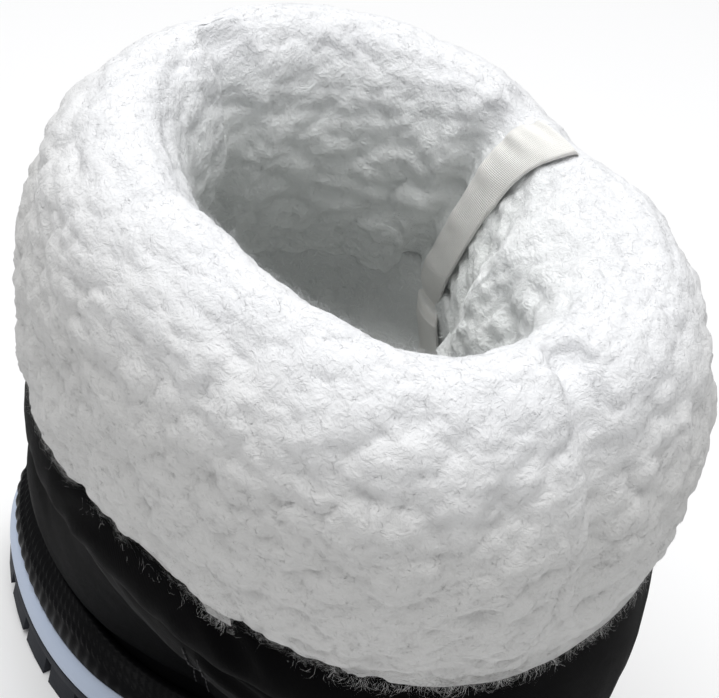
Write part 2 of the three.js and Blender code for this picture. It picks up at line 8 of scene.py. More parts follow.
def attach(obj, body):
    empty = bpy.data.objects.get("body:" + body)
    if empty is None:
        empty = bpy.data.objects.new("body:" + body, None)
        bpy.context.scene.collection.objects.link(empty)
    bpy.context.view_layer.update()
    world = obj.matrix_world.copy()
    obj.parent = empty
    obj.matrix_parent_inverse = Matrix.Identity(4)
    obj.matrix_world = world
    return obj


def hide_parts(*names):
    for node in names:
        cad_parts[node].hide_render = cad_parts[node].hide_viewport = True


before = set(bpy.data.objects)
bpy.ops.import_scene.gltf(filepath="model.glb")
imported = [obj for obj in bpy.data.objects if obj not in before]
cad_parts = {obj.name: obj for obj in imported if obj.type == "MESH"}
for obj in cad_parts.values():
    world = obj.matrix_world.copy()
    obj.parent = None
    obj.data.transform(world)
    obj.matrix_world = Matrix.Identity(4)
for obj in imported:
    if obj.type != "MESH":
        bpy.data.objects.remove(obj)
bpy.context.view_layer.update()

mm = 0.001  # the boot's own sizes are written in millimetres
plan = np.random.default_rng(38)


# the camera: behind the boot, to its left and above it
cameraPlace = {
    "target": (64.9, -28.8, 166.9),
    "bearing": 136.5,  # degrees round from the toe by the left
    "height": 36.41,
    "distance": 429.3,
    "roll": 2.37,
    "lens": 71.07,
}


def placeCamera(size):
    bearing, height = math.radians(size["bearing"]), math.radians(size["height"])
    back = Vector((math.cos(bearing) * math.cos(height), math.sin(bearing) * math.cos(height), math.sin(height)))
    right = Vector((0, 0, 1)).cross(back).normalized()
    up = back.cross(right)
    c, s = math.cos(math.radians(size["roll"])), math.sin(math.radians(size["roll"]))
    right, up = c * right + s * up, c * up - s * right
    place = (Vector(size["target"]) + back * size["distance"]) * mm
    bpy.ops.object.camera_add(location=place)
    camera = bpy.context.object
    camera.name = "viewCamera"
    turn = Matrix((right, up, back)).transposed()
    camera.rotation_euler = turn.to_euler()
    camera.data.lens = size["lens"]
    camera.data.sensor_width = 36
    camera.data.clip_start = 0.01
    bpy.context.scene.camera = camera


placeCamera(cameraPlace)
print("camera placed")


# sizes of the sole, as in the solid model
sole = {
    "length": 259, "heelReach": 36, "ball": 93, "toeSpring": 16, "springStart": 177, "tipSide": -0.092,
    "ground": 14.4, "stripe": 7.8, "gap": 0.35,
}
# the outline from the back: along, then half widths left and right
outlineRows = [
    (0.030, 0.220, 0.220), (0.084, 0.344, 0.344), (0.177, 0.371, 0.371), (0.254, 0.366, 0.366),
    (0.355, 0.349, 0.338), (0.447, 0.371, 0.344), (0.500, 0.413, 0.387), (0.610, 0.469, 0.495),
    (0.718, 0.454, 0.548), (0.830, 0.378, 0.511), (0.919, 0.262, 0.440), (0.973, 0.125, 0.320),
]


def smoothStep(value, low, high):
    share = np.clip((value - low) / (high - low), 0, 1)
    return share * share * (3 - 2 * share)


def soleLoop():
    # even points from the toe tip by the left side to the heel and back by the right
    points = [(1, sole["tipSide"])] + [(row[0], row[1]) for row in reversed(outlineRows)]
    points += [(0, 0)] + [(row[0], -row[2]) for row in outlineRows]
    knots = np.array(points) * (sole["length"], sole["ball"])
    count = len(knots)

    def along(place):
        index = np.floor(place * count).astype(int)
        part = (place * count - index)[:, None]
        a, b, c, d = (knots[(index + k) % count] for k in (-1, 0, 1, 2))
        ab, bc, cd = (np.sum((q - p) ** 2, axis=1)[:, None] ** 0.25 for p, q in ((a, b), (b, c), (c, d)))
        slopeIn = ((b - a) / ab - (c - a) / (ab + bc) + (c - b) / bc) * bc
        slopeOut = ((c - b) / bc - (d - b) / (bc + cd) + (d - c) / cd) * bc
        bend = 3 * (c - b) - 2 * slopeIn - slopeOut
        return b + slopeIn * part + bend * part ** 2 + (2 * (b - c) + slopeIn + slopeOut) * part ** 3

    heel = (len(outlineRows) + 1) / count
    halves = []
    for start, end in ((0, heel), (heel, 1)):
        run = along(np.linspace(start, end, 2001))
        reach = np.concatenate([[0], np.cumsum(np.linalg.norm(np.diff(run, axis=0), axis=1))])
        even = np.linspace(0, reach[-1], 601)
        halves.append(np.stack([np.interp(even, reach, run[:, k]) for k in (0, 1)], axis=1))
    return np.concatenate([halves[0][:-1], halves[1]])


loopPoints = soleLoop()
loopPlaces = np.linspace(0, 1, len(loopPoints))


def outlineAt(u):
    return np.stack([np.interp(u % 1, loopPlaces, loopPoints[:, k]) for k in (0, 1)], axis=-1)


def toeLift(x):
    start, end = sole["springStart"] - sole["heelReach"], sole["length"] - sole["heelReach"]
    return sole["toeSpring"] * np.clip((x - start) / (end - start), 0, 1.3) ** 2


def edgePoint(u, offset, height):
    step = 0.5 / 60
    along = outlineAt(u + step) - outlineAt(u - step)
    along = along / np.linalg.norm(along, axis=-1, keepdims=True)
    here = outlineAt(u)
    x = here[..., 0] - sole["heelReach"] + along[..., 1] * offset
    y = here[..., 1] - along[..., 0] * offset
    return np.stack([x, y, height + toeLift(x)], axis=-1)


# sizes of the upper, as in the solid model
upper = {
    "wall": 2.4, "featherInset": 12.8, "vampHeight": 98, "shaftDepth": 190, "shaftWidth": 142,
    "shaftCentre": 39, "shaftSide": 5.8, "shaftFoot": 120, "shaftRise": 124, "bandPuff": 5.0,
    "quarterPuff": 2.6, "seamDepth": 1.3, "backDip": 32, "squareness": 2.3, "sideSeam": 17 / 60,
    "bandSeam": 9, "bandRings": 1.35,
}
# rings of the foot: back, front, inset, width, low, high, share of the sole's outline, share of the toe's lift
footRings = [
    (0.050, 0.950, 1.00, 0.90, 0.000, 0.000, 1.00, 1.0), (0.048, 0.952, 0.97, 0.90, 0.135, 0.135, 1.00, 1.0),
    (0.028, 0.960, 0.54, 0.90, 0.240, 0.265, 1.00, 1.0), (0.016, 0.946, 0.32, 0.90, 0.345, 0.420, 1.00, 1.0),
    (0.008, 0.898, 0.22, 0.92, 0.450, 0.560, 0.98, 1.0), (0.000, 0.830, 0.18, 0.97, 0.560, 0.690, 0.84, 0.9),
    (-0.010, 0.752, 0.14, 1.04, 0.680, 0.815, 0.56, 0.7), (-0.022, 0.688, 0.10, 1.16, 0.820, 0.955, 0.26, 0.3),
]
# rings of the shaft: back, front, width, low, high, share of the seam's drop at the back
shaftRings = [
    (-0.445, 0.465, 0.900, 0.080, 0.215, 0.55), (-0.470, 0.476, 0.950, 0.232, 0.325, 1.00),
    (-0.485, 0.476, 0.942, 0.430, 0.500, 0.10), (-0.490, 0.420, 0.930, 0.640, 0.830, 0.00),
    (-0.455, 0.310, 0.815, 0.870, 1.110, 0.00),
]


def upperTable():
    columns = {name: [] for name in ("back", "front", "inset", "width", "side", "low", "high", "foot", "spring", "dip")}
    foot = sole["ground"] + sole["stripe"] + sole["gap"]
    for back, front, inset, width, low, high, share, spring in footRings:
        row = (
            back * sole["length"] - sole["heelReach"], front * sole["length"] - sole["heelReach"],
            inset * upper["featherInset"], width * sole["ball"], upper["shaftSide"] * (1 - share),
            foot + low * upper["vampHeight"], foot + high * upper["vampHeight"], share, spring, 0,
        )
        for name, value in zip(columns, row):
            columns[name].append(value)
    for back, front, width, low, high, dip in shaftRings:
        row = (
            upper["shaftCentre"] + back * upper["shaftDepth"], upper["shaftCentre"] + front * upper["shaftDepth"],
            0, width * upper["shaftWidth"], upper["shaftSide"],
            upper["shaftFoot"] + low * upper["shaftRise"], upper["shaftFoot"] + high * upper["shaftRise"], 0, 0, dip,
        )
        for name, value in zip(columns, row):
            columns[name].append(value)
    return {name: np.array(values, float) for name, values in columns.items()}


upperColumns = upperTable()


def between(table, name, row):
    column = table[name]
    last = len(column) - 1
    index = np.clip(np.floor(row).astype(int), 0, last - 1)
    t = row - index
    a, b, c, d = (column[np.clip(index + k, 0, last)] for k in (-1, 0, 1, 2))
    slopes = (t ** 3 - 2 * t ** 2 + t) * (c - a) / 2 + (t ** 3 - t ** 2) * (d - b) / 2
    return (2 * t ** 3 - 3 * t ** 2 + 1) * b + (3 * t ** 2 - 2 * t ** 3) * c + slopes


def ovalAt(u):
    angle = 2 * np.pi * u
    power = 2 / upper["squareness"]
    x = np.sign(np.cos(angle)) * np.abs(np.cos(angle)) ** power
    y = np.sign(np.sin(angle)) * np.abs(np.sin(angle)) ** power
    return (1 + x) / 2, y / 2


def around(u, at):
    away = np.abs(u - at) % 1
    return np.minimum(away, 1 - away)


def upperBase(u, row):
    value = {name: between(upperColumns, name, row) for name in upperColumns}
    foot = np.clip(value["foot"], 0, 1)
    drawn = edgePoint(u, -value["inset"], 0)
    flatX = (drawn[..., 0] + sole["heelReach"] - value["inset"]) / (sole["length"] - 2 * value["inset"])
    ovalX, ovalY = ovalAt(u)
    along = ovalX * (1 - foot) + flatX * foot
    x = value["back"] + (value["front"] - value["back"]) * along
    y = ovalY * value["width"] * (1 - foot) + drawn[..., 1] * foot + value["side"]
    height = value["low"] + (value["high"] - value["low"]) * along
    drop = value["dip"] * upper["backDip"] * smoothStep(around(u, 0), 0.33, 0.5)
    return np.stack([x, y, height + value["spring"] * toeLift(x) - drop], axis=-1)


def outwards(surface, u, row, last):
    turned = surface(u + 0.004, row) - surface(u - 0.004, row)
    risen = surface(u, np.clip(row + 0.05, 0, last)) - surface(u, np.clip(row - 0.05, 0, last))
    out = np.cross(turned, risen)
    return out / np.linalg.norm(out, axis=-1, keepdims=True)


def upperPuff(u, row):
    bandShare = np.clip((row - upper["bandSeam"]) / upper["bandRings"], 0, 1)
    band = np.sin(np.pi * bandShare ** 0.6)
    side = around(u, 0)
    seam = upper["sideSeam"]
    behind = np.clip((side - seam) / (0.5 - seam), 0, 1)
    ahead = np.clip((seam - side) / seam, 0, 1)
    level = np.clip((row - 1.2) / (upper["bandSeam"] - 1.2), 0, 1)
    upright = np.sin(np.pi * level ** 0.8)
    quarter = np.sin(np.pi * behind ** 0.55) * upright
    vamp = 0.45 * np.sin(np.pi * ahead ** 0.5) * upright
    below = np.where(row < upper["bandSeam"], 1, 0)
    sideSeam = np.exp(-(((side - seam) * 150) ** 2)) * upright * below
    backSeam = np.exp(-(((side - 0.5) * 150) ** 2)) * upright * below
    bandSeam = np.exp(-(((row - upper["bandSeam"]) / 0.05) ** 2))
    return (upper["bandPuff"] * band + upper["quarterPuff"] * (quarter + vamp) * below
            - upper["seamDepth"] * (sideSeam + backSeam + bandSeam))


def upperPoint(u, row, offset):
    out = outwards(upperBase, u, row, 12)
    return upperBase(u, row) + out * (upperPuff(u, row) + offset)[..., None]


# sizes of the fleece, as in the solid model
fleece = {
    "rise": 89, "foot": 173, "crestRow": 6, "lastRow": 11, "slot": 0.6,
    "foldDepth": 27, "foldAt": 0.645, "foldDrift": 0.07, "foldBehind": 0.200, "foldAhead": 0.052,
}
# rings from the outer lower edge, over the rim and down inside: back, front, width, height, tilt
fleeceRings = [
    (-0.507, 0.500, 1.002, 0.000, 0.060), (-0.517, 0.508, 1.028, 0.075, 0.065), (-0.537, 0.479, 1.052, 0.345, 0.140),
    (-0.541, 0.421, 1.056, 0.620, 0.205), (-0.517, 0.357, 0.985, 0.825, 0.225), (-0.483, 0.295, 0.860, 0.950, 0.225),
    (-0.440, 0.240, 0.722, 1.000, 0.215), (-0.395, 0.195, 0.600, 0.950, 0.200), (-0.372, 0.176, 0.535, 0.820, 0.185),
    (-0.372, 0.190, 0.540, 0.600, 0.160), (-0.395, 0.265, 0.620, 0.330, 0.110), (-0.430, 0.350, 0.745, 0.110, 0.070),
]
fleeceColumns = {
    name: np.array([row[k] for row in fleeceRings])
    for k, name in enumerate(("back", "front", "width", "height", "tilt"))
}
# troughs down the fleece: place, drift inside, depth, half width, first and last ring
fleeceTroughs = {
    "frontSeam": (0.000, 0.000, 6.5, 0.013, 6.6, 11),
    "backSeam": (0.484, 0.000, 5.0, 0.010, 2.2, 6),
    "tapeNotch": (0.731, 0.060, 4.0, 0.026, 4, 11),
    "tapeCrease": (0.757, 0.056, 3.4, 0.008, 5.4, 11),
}


def fleeceBase(u, row):
    value = {name: between(fleeceColumns, name, row) for name in fleeceColumns}
    ovalX, ovalY = ovalAt(u)
    x = upper["shaftCentre"] + (value["back"] + (value["front"] - value["back"]) * ovalX) * upper["shaftDepth"]
    y = upper["shaftSide"] + ovalY * value["width"] * upper["shaftWidth"]
    middle = upper["shaftCentre"] + (value["back"] + value["front"]) / 2 * upper["shaftDepth"]
    return np.stack([x, y, fleece["foot"] + value["height"] * fleece["rise"] + value["tilt"] * (x - middle)], axis=-1)


def troughPlace(name, row):
    at, drift = fleeceTroughs[name][:2]
    return at + drift * smoothStep(row, fleece["crestRow"], fleece["lastRow"])


def foldRelief(u, row):
    # the wall between the tape and the heel stands into the collar, steep beside the tape
    away = u % 1 - fleece["foldAt"] - fleece["foldDrift"] * smoothStep(row, fleece["crestRow"], fleece["lastRow"])
    reach = np.where(away > 0, fleece["foldAhead"], fleece["foldBehind"])
    return fleece["foldDepth"] * np.exp(-((away / reach) ** 2))


def fleeceRelief(u, row):
    relief = 0
    for name, (at, drift, depth, reach, first, last) in fleeceTroughs.items():
        inside = smoothStep(row, first - 1, first) * (1 - smoothStep(row, last, last + 1))
        relief = relief - depth * np.exp(-((around(u, troughPlace(name, row)) / reach) ** 2)) * inside
    return relief + foldRelief(u, row) * smoothStep(row, 6, 9.4)


def fleecePoint(u, row, offset):
    out = outwards(fleeceBase, u, row, fleece["lastRow"])
    return fleeceBase(u, row) + out * (fleeceRelief(u, row) + offset)[..., None]


# making meshes
def deselectAll():
    if bpy.context.object and bpy.context.object.mode != "OBJECT":
        bpy.ops.object.mode_set(mode="OBJECT")
    bpy.ops.object.select_all(action="DESELECT")


def pick(piece):
    deselectAll()
    piece.select_set(True)
    bpy.context.view_layer.objects.active = piece


def ringPiece(name, rings):
    # a grid is added and bent round, so that its last row and column meet the first
    rows, columns = rings.shape[:2]
    deselectAll()
    bpy.ops.mesh.primitive_grid_add(x_subdivisions=columns, y_subdivisions=rows, size=1, location=(0.5, 0.5, 0))
    piece = bpy.context.object
    piece.name = name
    bpy.ops.object.transform_apply(location=True, rotation=True, scale=True)
    flat = np.zeros(len(piece.data.vertices) * 3)
    piece.data.vertices.foreach_get("co", flat)
    flat = flat.reshape(-1, 3)
    column = np.rint(flat[:, 0] * columns).astype(int) % columns
    row = np.rint(flat[:, 1] * rows).astype(int) % rows
    piece.data.vertices.foreach_set("co", (rings[row, column] * mm).ravel())
    bpy.ops.object.mode_set(mode="EDIT")
    bpy.ops.mesh.select_all(action="SELECT")
    bpy.ops.mesh.remove_doubles(threshold=0.000002)
    bpy.ops.mesh.normals_make_consistent(inside=False)
    bpy.ops.object.mode_set(mode="OBJECT")
    bpy.ops.object.shade_smooth()
    return piece


def applyModifier(piece, kind, settings):
    pick(piece)
    made = piece.modifiers.new(kind.lower(), kind)
    for key, value in settings.items():
        setattr(made, key, value)
    bpy.ops.object.modifier_apply(modifier=made.name)


def meshOf(piece):
    points = np.zeros(len(piece.data.vertices) * 3)
    piece.data.vertices.foreach_get("co", points)
    return points.reshape(-1, 3), [list(face.vertices) for face in piece.data.polygons]


def repeatPiece(name, model, places, turns):
    # the model is made once, and each copy of it is turned and set down at its place
    points, faces = meshOf(model)
    placed = np.einsum("kij,nj->kni", turns, points) + places[:, None, :]
    count = len(points)
    joined = [[corner + k * count for corner in face] for k in range(len(places)) for face in faces]
    mesh = bpy.data.meshes.new(name)
    mesh.from_pydata(placed.reshape(-1, 3).tolist(), [], joined)
    mesh.update()
    piece = bpy.data.objects.new(name, mesh)
    bpy.context.scene.collection.objects.link(piece)
    bpy.data.objects.remove(model)
    pick(piece)
    bpy.ops.object.shade_smooth()
    return piece


def keepPiece(piece, slot, material, *nodes):
    piece.data.materials.clear()
    piece.data.materials.append(material)
    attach(piece, "root")
    if nodes:
        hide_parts(*nodes)


def setAttribute(piece, name, values):
    made = piece.data.attributes.new(name, "FLOAT", "POINT")
    made.data.foreach_set("value", np.asarray(values, np.float32))


# shader maths in plain sums
class Wire:
    def __init__(self, finish, socket):
        self.finish = finish
        self.socket = socket

    def sum(self, operation, *values):
        return self.finish.node("ShaderNodeMath", {"operation": operation}, dict(enumerate(values)))

    def __add__(self, other):
        return self.sum("ADD", self, other)

    __radd__ = __add__

    def __sub__(self, other):
        return self.sum("SUBTRACT", self, other)

    def __rsub__(self, other):
        return self.sum("SUBTRACT", other, self)

    def __mul__(self, other):
        return self.sum("MULTIPLY", self, other)

    __rmul__ = __mul__

    def __pow__(self, other):
        return self.sum("POWER", self, other)


class Finish:
    def __init__(self, name, **shared):
        self.material = bpy.data.materials.new(name)
        self.material.use_nodes = True
        self.tree = self.material.node_tree
        self.shader = self.tree.nodes["Principled BSDF"]
        for key, value in shared.items():
            self.shader.inputs[key.replace("_", " ")].default_value = value

    def node(self, kind, settings, values, output=0):
        made = self.tree.nodes.new(kind)
        for key, value in settings.items():
            if key == "stops":
                for stop, (place, colour) in zip([made.color_ramp.elements[0], made.color_ramp.elements[1]], value):
                    stop.position = place
                    stop.color = (*colour, 1)
                for place, colour in value[2:]:
                    made.color_ramp.elements.new(place).color = (*colour, 1)
            else:
                setattr(made, key, value)
        for key, value in values.items():
            self.feed(made.inputs[key], value)
        return Wire(self, made.outputs[output])

    def feed(self, socket, value):
        if isinstance(value, Wire):
            self.tree.links.new(value.socket, socket)
        else:
            socket.default_value = value

    def place(self):
        return self.node("ShaderNodeTexCoord", {}, {}, "Object")

    def cloth(self):
        return self.node("ShaderNodeTexCoord", {}, {}, "UV")

    def attribute(self, name):
        return self.node("ShaderNodeAttribute", {"attribute_name": name}, {}, "Fac")

    def grain(self, where, scale, detail=2, roughness=0.5):
        return self.node("ShaderNodeTexNoise", {}, {
            "Vector": where, "Scale": scale, "Detail": detail, "Roughness": roughness,
        })

    def cells(self, where, scale):
        return self.node("ShaderNodeTexVoronoi", {}, {"Vector": where, "Scale": scale})

    def stretch(self, where, scale):
        return self.node("ShaderNodeMapping", {}, {"Vector": where, "Scale": scale})

    def wave(self, where, scale, direction):
        return self.node("ShaderNodeTexWave", {"bands_direction": direction}, {"Vector": where, "Scale": scale}, "Fac")

    def remap(self, value, low, high, newLow, newHigh):
        return self.node("ShaderNodeMapRange", {}, {0: value, 1: low, 2: high, 3: newLow, 4: newHigh})

    def mix(self, share, first, second):
        first = first if isinstance(first, Wire) else (*first, 1)
        second = second if isinstance(second, Wire) else (*second, 1)
        return self.node("ShaderNodeMix", {"data_type": "RGBA"}, {0: share, 6: first, 7: second}, 2)

    def bump(self, height, strength, distance):
        normal = self.node("ShaderNodeBump", {}, {"Height": height, "Strength": strength, "Distance": distance})
        self.feed(self.shader.inputs["Normal"], normal)

    def wear(self, **values):
        for key, value in values.items():
            self.feed(self.shader.inputs[key.replace("_", " ")], value)


def fleeceFinish(name, grainDepth):
    made = Finish(name, Roughness=0.95, Sheen_Weight=0.15, Sheen_Roughness=0.7, Specular_IOR_Level=0.08)
    where = made.place()
    soft = made.grain(where, 70, 3)
    lit = made.mix(soft, (0.79, 0.798, 0.82), (0.84, 0.845, 0.86))
    # painted light: inside the collar the fleece is coloured lighter and slightly green; painted shade: the lower outer
    # face is coloured grey
    shaded = made.mix(made.attribute("hollow"), lit, (0.95, 0.97, 0.955))
    shaded = made.mix(made.attribute("outer"), shaded, (0.60, 0.595, 0.585))
    # painted shade: darker towards the hairs' roots, under the pile and deep in the lining and footbed
    made.wear(Base_Color=made.mix(made.attribute("root"), shaded, (0.70, 0.71, 0.71)))
    if grainDepth:
        curls = made.node("ShaderNodeTexNoise", {}, {
            "Vector": where, "Scale": 330, "Detail": 3, "Roughness": 0.6, "Distortion": 1.6,
        })
        made.bump(curls + 0.5 * made.grain(where, 1100, 2), 0.6, grainDepth * mm)
    return made.material


def clothFinish():
    made = Finish("blackShellCloth", IOR=1.12, Specular_IOR_Level=0.12)
    where = made.place()
    thread = made.cloth()
    weave = made.wave(thread, 420, "X") * made.wave(thread, 260, "Y")
    wash = made.grain(where, 22, 4, 0.6)
    speck = made.grain(where, 700, 2)
    made.wear(Base_Color=made.mix(wash, (0.0014, 0.0014, 0.0016), (0.0030, 0.0030, 0.0033)))
    made.wear(Roughness=made.remap(wash + 0.3 * speck, 0.3, 0.9, 0.40, 0.60))
    made.bump(0.4 * weave + 0.3 * speck + 1.2 * made.grain(where, 60, 3), 0.35, 0.0005)
    return made.material


def rubberFinish(name, dark, light, low, high):
    made = Finish(name, IOR=1.25, Specular_IOR_Level=0.28)
    where = made.place()
    dust = made.grain(where, 35, 5, 0.65)
    pores = made.grain(where, 1400, 2)
    scuff = made.remap(made.grain(made.stretch(where, (60, 60, 300)), 1, 3), 0.55, 0.75, 0, 1)
    made.wear(Base_Color=made.mix(0.6 * dust + 0.4 * scuff, dark, light))
    made.wear(Roughness=made.remap(dust, 0.3, 0.7, low, high))
    made.bump(pores + 0.5 * dust, 0.25, 0.0003)
    return made.material


def foamFinish():
    made = Finish("paleFoam", Specular_IOR_Level=0.4)
    where = made.place()
    cloud = made.grain(where, 30, 3)
    pores = made.grain(where, 1500, 2)
    dirt = made.remap(made.grain(where, 120, 4, 0.7), 0.62, 0.80, 0, 0.35)
    clean = made.mix(cloud, (0.45, 0.52, 0.65), (0.51, 0.58, 0.71))
    made.wear(Base_Color=made.mix(dirt, clean, (0.24, 0.26, 0.29)))
    made.wear(Roughness=made.remap(cloud, 0.3, 0.7, 0.45, 0.6))
    made.bump(pores, 0.2, 0.0002)
    return made.material


def tapeFinish():
    made = Finish("creamTape", Roughness=0.85, Sheen_Weight=0.2, Specular_IOR_Level=0.2)
    where = made.place()
    thread = made.cloth()
    rib = made.wave(thread, 60, "Y")
    cross = made.wave(thread, 14, "X")
    fuzz = made.grain(where, 800, 3)
    cream = made.mix(made.grain(where, 80, 3), (0.95, 0.935, 0.90), (0.98, 0.975, 0.95))
    made.wear(Base_Color=made.mix(0.22 * rib, cream, (0.80, 0.77, 0.69)))
    made.bump(0.8 * rib + 0.4 * cross + fuzz, 0.5, 0.0004)
    return made.material


def threadFinish(name, colour):
    made = Finish(name, Roughness=0.6)
    twist = made.grain(made.place(), 1500, 2)
    made.wear(Base_Color=made.mix(twist, tuple(0.7 * c for c in colour), colour))
    made.bump(twist, 0.4, 0.0002)
    return made.material


fleeceGroundFinish = fleeceFinish("fleeceGround", 0.9)
fleecePileFinish = fleeceFinish("fleecePile", 0)
shellCloth = clothFinish()
foxingRubber = rubberFinish("foxingRubber", (0.0030, 0.0030, 0.0034), (0.0085, 0.0085, 0.0095), 0.36, 0.52)
treadRubber = rubberFinish("treadRubber", (0.022, 0.024, 0.030), (0.045, 0.048, 0.056), 0.55, 0.75)
print("finishes made")


# the tread: the solid's own form with its edges eased
tread = {"edge": 0.7, "merge": 0.02, "flatAngle": 1.5, "edgeAngle": 32}


def makeTread(size):
    pick(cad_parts["outsole"])
    bpy.ops.object.duplicate()
    piece = bpy.context.object
    piece.name = "treadSole"
    piece.parent = None
    for key in list(piece.keys()):
        del piece[key]
    bpy.ops.object.mode_set(mode="EDIT")
    bpy.ops.mesh.select_all(action="SELECT")
    bpy.ops.mesh.remove_doubles(threshold=size["merge"] * mm)
    bpy.ops.mesh.dissolve_limited(angle_limit=math.radians(size["flatAngle"]))
    bpy.ops.object.mode_set(mode="OBJECT")
    applyModifier(piece, "BEVEL", {
        "width": size["edge"] * mm, "segments": 2, "limit_method": "ANGLE",
        "angle_limit": math.radians(size["edgeAngle"]),
    })
    applyModifier(piece, "TRIANGULATE", {})
    pick(piece)
    bpy.ops.object.shade_smooth_by_angle(angle=math.radians(28))
    keepPiece(piece, "outsole_rubber", treadRubber, "outsole")


makeTread(tread)
print("tread made")


# the pale stripe
stripe = {"columns": 300, "flare": 2.9, "bulge": 0.5, "round": 0.6, "inside": 16}


def makeStripe(size):
    u = np.arange(size["columns"]) / size["columns"]
    low, high = sole["ground"], sole["ground"] + sole["stripe"] - sole["gap"]
    rings = []
    for share in np.linspace(0, 1, 13):
        swell = size["bulge"] * (1 - (2 * share - 0.8) ** 2) - size["round"] * (abs(2 * share - 1) ** 8)
        swell = swell + size["flare"] * (1 - share)
        rings.append(edgePoint(u, swell, low + (high - low) * share))
    rings.append(edgePoint(u, -size["inside"], high))
    rings.append(edgePoint(u, -size["inside"], low))
    piece = ringPiece("paleStripe", np.array(rings))
    keepPiece(piece, "stripe_foam", foamFinish(), "midsole_stripe")


makeStripe(stripe)
print("stripe made")


# the moulded cup round the foot: lower beside the arch, fuller round the toe
foxing = {
    "columns": 1020, "height": 14, "dip": 0.5, "lean": 8.2, "foot": 1.6, "swell": 1.1, "toeSwell": 1.9,
    "flutes": 100, "fluteDepth": 0.26, "ribs": 170, "ribDepth": 0.85,
    "ribRows": ((0.62, 0.070, 0.0), (0.80, 0.070, 0.5), (0.955, 0.050, 0.0)), "ribSlant": 0.9,
}


def foxingShare(u, size):
    side = around(u, 0)
    return 1 - size["dip"] * smoothStep(side, 0.16, 0.25) * (1 - smoothStep(side, 0.36, 0.45))


def foxingFace(u, share, size):
    full = size["swell"] + size["toeSwell"] * (1 - smoothStep(around(u, 0), 0.08, 0.2))
    swell = full * math.sin(math.pi * min(share / 0.95, 1)) ** 0.8
    flute = size["fluteDepth"] * np.cos(2 * np.pi * size["flutes"] * u) * float(smoothStep(share, 0.02, 0.15))
    flute = flute * float(1 - smoothStep(share, 0.42, 0.54))
    rib = 0
    for centre, half, turn in size["ribRows"]:
        wave = np.cos(2 * np.pi * (size["ribs"] * u + turn + size["ribSlant"] * (share - centre) / (2 * half)))
        rib = rib + size["ribDepth"] * (0.5 + 0.5 * wave) ** 1.3 * math.exp(-(((share - centre) / half) ** 2))
    offset = -size["foot"] - size["lean"] * share ** 1.4 + swell + flute + rib - 0.4 * share
    height = size["height"] * foxingShare(u, size) * share
    return edgePoint(u, offset, sole["ground"] + sole["stripe"] + height)


def makeFoxing(size):
    u = np.arange(size["columns"]) / size["columns"]
    rings = [foxingFace(u, share, size) for share in np.linspace(0, 1, 31)]
    low, high = (upperPoint(u, np.full_like(u, row), np.full_like(u, sole["gap"])) for row in (0.0, 1.0))
    for share in (0.98, 0.5, 0.0):
        rings.append(low + (high - low) * (share * foxingShare(u, size))[:, None])
    rings[-1][:, 2] = sole["ground"] + sole["stripe"] + toeLift(rings[-1][:, 0])
    piece = ringPiece("foxingCup", np.array(rings))
    keepPiece(piece, "foxing_rubber", foxingRubber, "foxing")


makeFoxing(foxing)
print("foxing made")


# the padded shell; creases are listed one by one: from and to (round, ring), depth, half width, sag
shell = {"columns": 220, "puckers": 46, "puckerDepth": 0.35}
creases = [
    ((0.285, 8.85), (0.350, 7.95), 1.7, 3.6, 0.10), ((0.300, 8.20), (0.375, 7.35), 0.9, 4.5, 0.10),
    ((0.330, 8.75), (0.420, 8.30), 0.8, 4.0, 0.10), ((0.190, 8.80), (0.262, 7.80), 1.0, 5.0, -0.10),
    ((-0.105, 7.20), (0.100, 7.15), 1.7, 6.0, -0.35), ((-0.120, 7.95), (0.095, 8.05), 1.1, 6.5, -0.25),
    ((-0.090, 6.35), (0.105, 6.40), 1.2, 5.0, -0.25), ((-0.080, 5.30), (0.075, 5.20), 0.6, 5.0, -0.15),
    ((0.130, 7.10), (0.225, 6.20), 1.1, 5.5, 0.15), ((-0.225, 6.30), (-0.135, 7.20), 1.1, 5.5, 0.15),
    ((0.170, 5.60), (0.270, 5.15), 0.7, 5.0, 0.12), ((-0.280, 5.30), (-0.180, 5.75), 0.7, 5.0, 0.12),
    ((0.405, 6.60), (0.590, 6.50), 1.2, 5.5, -0.25), ((0.420, 5.55), (0.570, 5.65), 0.8, 5.0, -0.20),
    ((0.440, 7.50), (0.620, 7.30), 0.9, 6.0, -0.15), ((-0.330, 8.80), (-0.270, 7.70), 1.2, 4.5, -0.10),
    ((-0.400, 8.30), (-0.330, 7.50), 0.8, 5.0, 0.10), ((-0.230, 8.60), (-0.170, 7.60), 0.8, 5.0, 0.10),
    ((0.055, 8.80), (0.120, 8.00), 0.7, 4.5, 0.10), ((-0.130, 4.30), (-0.060, 3.90), 0.4, 4.0, 0.05),
    ((0.060, 3.95), (0.120, 4.30), 0.4, 4.0, 0.05), ((0.300, 4.40), (0.400, 4.10), 0.5, 5.0, 0.08),
    ((0.080, 9.25), (0.125, 9.85), 0.9, 3.5, 0.05), ((0.205, 9.20), (0.240, 9.80), 0.8, 3.5, 0.05),
    ((0.330, 9.25), (0.300, 9.90), 0.9, 3.5, 0.05), ((0.395, 9.20), (0.430, 9.75), 0.8, 4.0, 0.05),
    ((0.560, 9.25), (0.600, 9.80), 0.9, 4.0, 0.05), ((0.700, 9.20), (0.670, 9.85), 0.8, 3.5, 0.05),
    ((0.830, 9.20), (0.865, 9.80), 0.9, 3.5, 0.05), ((0.930, 9.25), (0.950, 9.75), 0.7, 3.5, 0.05),
]


